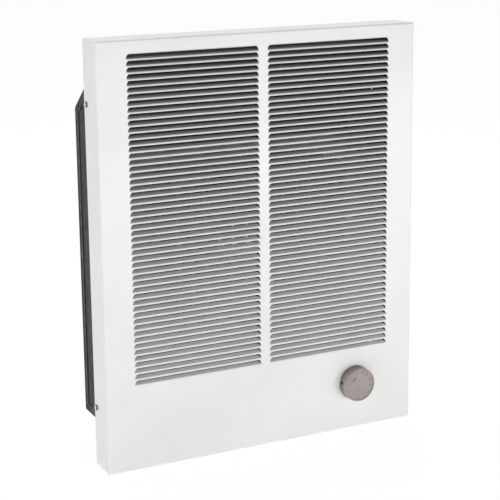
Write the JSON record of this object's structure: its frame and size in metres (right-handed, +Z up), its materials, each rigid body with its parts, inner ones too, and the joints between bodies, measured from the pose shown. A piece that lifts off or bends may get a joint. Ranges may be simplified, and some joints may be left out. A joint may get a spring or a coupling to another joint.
{
  "type": "recessed wall heater",
  "caption": "Fan-forced heater for a wall recess: a louvred white steel cover with a round thermostat knob, screwed over a dark can that holds fan, motor and finned elements.",
  "frame": {"origin": "middle of the rear face of the can's lower lip, in the plane of the wall's face", "axes": "+Y points into the wall, +Z up, +X to the right as seen from the room"},
  "size_m": [0.4176, 0.1533, 0.508],
  "materials": {
    "white_enamel": "semi-gloss white baked enamel",
    "dark_enamel": "thin dark grey-brown enamel",
    "galvanised_steel": "galvanised sheet",
    "zinc": "bright zinc plate",
    "aluminium": "mill finish",
    "die_cast_zinc": "as cast",
    "lamination_steel": "varnished electrical steel",
    "steel_shaft": "ground",
    "bronze": "sintered bronze",
    "element_steel": "oxidised by heat",
    "porcelain": "glazed ceramic end seal with a steel stud",
    "winding_tape": "taped and varnished copper winding",
    "nylon": "moulded, natural",
    "phenolic": "moulded, black",
    "taupe_plastic": "satin moulded taupe",
    "black_oxide": "blackened",
    "green_zinc": "green zinc plate"
  },
  "bodies": {
    "housing": {"coil_bobbin": "nylon", "cover": "white_enamel", "cover_screw_1": "zinc", "cover_screw_2": "zinc", "cover_screw_3": "zinc", "cover_screw_4": "zinc", "deck_rail_left": "galvanised_steel", "deck_rail_right": "galvanised_steel", "deck_screw_1": "zinc", "deck_screw_2": "zinc", "deck_screw_3": "zinc", "deck_screw_4": "zinc", "discharge_duct": "galvanised_steel", "duct_screw_1": "zinc", "duct_screw_2": "zinc", "element_terminal_1": "porcelain", "element_terminal_2": "porcelain", "element_terminal_3": "porcelain", "element_terminal_4": "porcelain", "fan_deck": "galvanised_steel", "front_bearing": "bronze", "front_bearing_bracket": "die_cast_zinc", "ground_screw": "green_zinc", "heating_element_lower": "element_steel", "heating_element_upper": "element_steel", "limit_screw_1": "zinc", "limit_screw_2": "zinc", "limit_switch": "phenolic", "motor_bolt_1": "zinc", "motor_bolt_2": "zinc", "motor_bracket": "galvanised_steel", "motor_bracket_screw_1": "zinc", "motor_bracket_screw_2": "zinc", "motor_coil": "winding_tape", "motor_laminations": "lamination_steel", "motor_nut_1": "zinc", "motor_nut_2": "zinc", "rear_bearing": "bronze", "rear_bearing_bracket": "die_cast_zinc", "thermostat_body": "phenolic", "thermostat_bracket": "galvanised_steel", "thermostat_bracket_screw_1": "zinc", "thermostat_bracket_screw_2": "zinc", "thermostat_nut": "zinc", "wall_can": "dark_enamel", "wiring_cover": "galvanised_steel", "wiring_cover_screw": "zinc"},
    "fan_rotor": {"fan_blades": "aluminium", "fan_hub": "zinc", "fan_set_screw": "black_oxide", "rotor": "lamination_steel", "motor_shaft": "steel_shaft"},
    "dial": {"knob": "taupe_plastic", "knob_set_screw": "black_oxide", "thermostat_spindle": "steel_shaft"}
  },
  "joints": [
    {"name": "fan_spin", "type": "hinge", "parent": "housing", "child": "fan_rotor", "pos_m": [0, 0.032, 0.215], "axis": [0, 1, 0], "continuous": true},
    {"name": "thermostat_dial", "type": "hinge", "parent": "housing", "child": "dial", "pos_m": [0.125, -0.04, 0.0342], "axis": [0, 1, 0], "range_deg": [-105, 195]}
  ]
}
